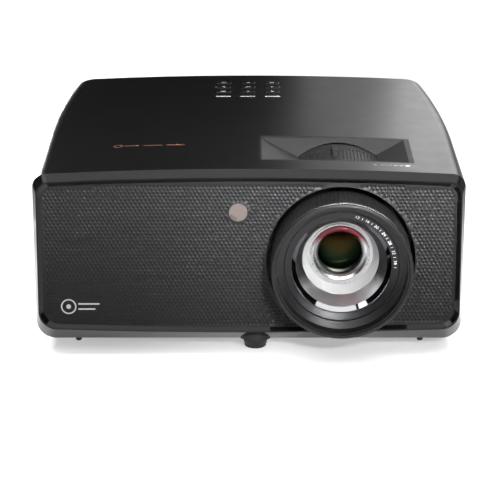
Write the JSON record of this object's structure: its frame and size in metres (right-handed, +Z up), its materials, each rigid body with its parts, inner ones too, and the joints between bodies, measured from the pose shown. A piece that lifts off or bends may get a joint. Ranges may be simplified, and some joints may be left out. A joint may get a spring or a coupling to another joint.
{
  "type": "home projector",
  "caption": "Home projector: rounded charcoal case with a dimpled front panel, offset zoom lens in a funnel-shaped barrel, top zoom well, keypad and screw feet.",
  "frame": {"origin": "on the surface it stands on, under the middle of the object's bounding box", "axes": "-Y is the way the lens looks, +X is to the right for someone facing the lens, +Z is up"},
  "size_m": [0.4, 0.396, 0.1771],
  "materials": {
    "case_black": "fine moulded texture, charcoal black",
    "gloss_bezel": "gloss black",
    "panel_charcoal": "charcoal with a fine dimple grid",
    "ir_plastic": "smoked brown",
    "badge_silver": "satin silver",
    "copper_inlay": "satin copper",
    "grille_black": "satin black",
    "rear_black": "satin black",
    "connector_steel": "nickel plated",
    "black_plastic": "satin black",
    "speaker_black": "matt black",
    "circuit_board": "green solder mask",
    "led_plastic": "frosted silver white",
    "lens_black": "satin black",
    "scale_grey": "satin grey",
    "reflector": "bright satin",
    "lens_glass": "coated",
    "key_black": "satin black",
    "cast_metal": "cast",
    "laser_brass": "machined",
    "wheel_glass": "phosphor coated",
    "motor_steel": "satin",
    "fin_aluminium": "plain",
    "pipe_copper": "drawn copper",
    "plate_steel": "zinc plated",
    "insert_brass": "turned",
    "screw_steel": "black zinc",
    "foot_rubber": "matt rubber"
  },
  "bodies": {
    "chassis": {"top_cover": "case_black", "bottom_case": "case_black", "front_bezel": "gloss_bezel", "front_panel": "panel_charcoal", "ir_window": "ir_plastic", "front_badge": "badge_silver", "top_inlay": "copper_inlay", "zoom_well": "case_black", "side_grille_left": "grille_black", "side_grille_right": "grille_black", "rear_panel": "rear_black", "io_connectors": "connector_steel", "ac_inlet": "black_plastic", "speakers": "speaker_black", "keypad_board": "circuit_board", "led_bars": "led_plastic", "lens_barrel": "lens_black", "lens_mount": "cast_metal", "rear_lens": "lens_glass", "engine_housing": "cast_metal", "prism": "lens_glass", "imaging_board": "circuit_board", "laser_module": "laser_brass", "wheel_motor": "motor_steel", "heat_sink": "fin_aluminium", "heat_pipes": "pipe_copper", "fan_frames": "black_plastic", "main_board": "circuit_board", "power_supply": "circuit_board", "base_plate": "plate_steel", "threaded_inserts": "insert_brass", "case_screws": "screw_steel", "bumpers": "foot_rubber"},
    "focus_ring": {"focus_ring": "lens_black"},
    "focus_group": {"scale_ring": "scale_grey", "focus_cell": "scale_grey", "reflector_cone": "reflector", "front_lens": "lens_glass"},
    "zoom_ring": {"zoom_ring": "black_plastic"},
    "zoom_group": {"zoom_cell": "lens_black", "zoom_lens": "lens_glass"},
    "phosphor_wheel": {"phosphor_wheel": "wheel_glass"},
    "power_key": {"power_key": "key_black"},
    "up_key": {"up_key": "key_black"},
    "menu_key": {"menu_key": "key_black"},
    "left_key": {"left_key": "key_black"},
    "enter_key": {"enter_key": "key_black"},
    "right_key": {"right_key": "key_black"},
    "source_key": {"source_key": "key_black"},
    "down_key": {"down_key": "key_black"},
    "back_key": {"back_key": "key_black"},
    "fan_rotor_front_left": {"fan_rotor_front_left": "black_plastic"},
    "fan_rotor_rear_left": {"fan_rotor_rear_left": "black_plastic"},
    "fan_rotor_right": {"fan_rotor_right": "black_plastic"},
    "front_foot_pad": {"front_foot_pad": "foot_rubber"},
    "front_foot_knob": {"front_foot_knob": "black_plastic"},
    "rear_left_foot_pad": {"rear_left_foot_pad": "foot_rubber"},
    "rear_left_foot_knob": {"rear_left_foot_knob": "black_plastic"},
    "rear_right_foot_pad": {"rear_right_foot_pad": "foot_rubber"},
    "rear_right_foot_knob": {"rear_right_foot_knob": "black_plastic"}
  },
  "joints": [
    {"name": "power_key_press", "type": "slide", "parent": "chassis", "child": "power_key", "axis": [0, 0, -1], "range_m": [0, 0.0008], "stiffness_N_per_m": 500, "springref_m": -0.0006},
    {"name": "up_key_press", "type": "slide", "parent": "chassis", "child": "up_key", "axis": [0, 0, -1], "range_m": [0, 0.0008], "stiffness_N_per_m": 500, "springref_m": -0.0006},
    {"name": "menu_key_press", "type": "slide", "parent": "chassis", "child": "menu_key", "axis": [0, 0, -1], "range_m": [0, 0.0008], "stiffness_N_per_m": 500, "springref_m": -0.0006},
    {"name": "left_key_press", "type": "slide", "parent": "chassis", "child": "left_key", "axis": [0, 0, -1], "range_m": [0, 0.0008], "stiffness_N_per_m": 500, "springref_m": -0.0006},
    {"name": "enter_key_press", "type": "slide", "parent": "chassis", "child": "enter_key", "axis": [0, 0, -1], "range_m": [0, 0.0008], "stiffness_N_per_m": 500, "springref_m": -0.0006},
    {"name": "right_key_press", "type": "slide", "parent": "chassis", "child": "right_key", "axis": [0, 0, -1], "range_m": [0, 0.0008], "stiffness_N_per_m": 500, "springref_m": -0.0006},
    {"name": "source_key_press", "type": "slide", "parent": "chassis", "child": "source_key", "axis": [0, 0, -1], "range_m": [0, 0.0008], "stiffness_N_per_m": 500, "springref_m": -0.0006},
    {"name": "down_key_press", "type": "slide", "parent": "chassis", "child": "down_key", "axis": [0, 0, -1], "range_m": [0, 0.0008], "stiffness_N_per_m": 500, "springref_m": -0.0006},
    {"name": "back_key_press", "type": "slide", "parent": "chassis", "child": "back_key", "axis": [0, 0, -1], "range_m": [0, 0.0008], "stiffness_N_per_m": 500, "springref_m": -0.0006},
    {"name": "focus_turn", "type": "hinge", "parent": "chassis", "child": "focus_ring", "pos_m": [0.0853, -0.172, 0.0912], "axis": [0, 1, 0], "range_deg": [-60, 60]},
    {"name": "focus_travel", "type": "slide", "parent": "chassis", "child": "focus_group", "axis": [0, 1, 0], "range_m": [-0.0021, 0.0021]},
    {"name": "zoom_turn", "type": "hinge", "parent": "chassis", "child": "zoom_ring", "pos_m": [0.0853, -0.084, 0.0912], "axis": [0, 1, 0], "range_deg": [-20, 20]},
    {"name": "zoom_travel", "type": "slide", "parent": "chassis", "child": "zoom_group", "axis": [0, 1, 0], "range_m": [-0.0061, 0.0061]},
    {"name": "wheel_spin", "type": "hinge", "parent": "chassis", "child": "phosphor_wheel", "pos_m": [0.002, 0.02, 0.085], "axis": [1, 0, 0], "continuous": true},
    {"name": "fan_front_left_spin", "type": "hinge", "parent": "chassis", "child": "fan_rotor_front_left", "pos_m": [-0.176, -0.076, 0.074], "axis": [1, 0, 0], "continuous": true},
    {"name": "fan_rear_left_spin", "type": "hinge", "parent": "chassis", "child": "fan_rotor_rear_left", "pos_m": [-0.176, 0.03, 0.074], "axis": [1, 0, 0], "continuous": true},
    {"name": "fan_right_spin", "type": "hinge", "parent": "chassis", "child": "fan_rotor_right", "pos_m": [0.176, 0.05, 0.074], "axis": [1, 0, 0], "continuous": true},
    {"name": "front_foot_extend", "type": "slide", "parent": "chassis", "child": "front_foot_pad", "axis": [0, 0, -1], "range_m": [0, 0.012]},
    {"name": "front_foot_turn", "type": "hinge", "parent": "front_foot_pad", "child": "front_foot_knob", "pos_m": [0.006, -0.147, 0.002], "axis": [0, 0, -1], "range_deg": [0, 3460]},
    {"name": "rear_left_foot_extend", "type": "slide", "parent": "chassis", "child": "rear_left_foot_pad", "axis": [0, 0, -1], "range_m": [0, 0.012]},
    {"name": "rear_left_foot_turn", "type": "hinge", "parent": "rear_left_foot_pad", "child": "rear_left_foot_knob", "pos_m": [-0.155, 0.15, 0.002], "axis": [0, 0, -1], "range_deg": [0, 3460]},
    {"name": "rear_right_foot_extend", "type": "slide", "parent": "chassis", "child": "rear_right_foot_pad", "axis": [0, 0, -1], "range_m": [0, 0.012]},
    {"name": "rear_right_foot_turn", "type": "hinge", "parent": "rear_right_foot_pad", "child": "rear_right_foot_knob", "pos_m": [0.155, 0.15, 0.002], "axis": [0, 0, -1], "range_deg": [0, 3460]}
  ],
  "couplings": [
    {"joint": "focus_travel", "follows": "focus_turn", "m_per_rad": 0.0019099},
    {"joint": "zoom_travel", "follows": "zoom_turn", "m_per_rad": 0.017189},
    {"joint": "front_foot_turn", "follows": "front_foot_extend", "rad_per_m": 5026.5},
    {"joint": "rear_left_foot_turn", "follows": "rear_left_foot_extend", "rad_per_m": 5026.5},
    {"joint": "rear_right_foot_turn", "follows": "rear_right_foot_extend", "rad_per_m": 5026.5}
  ]
}
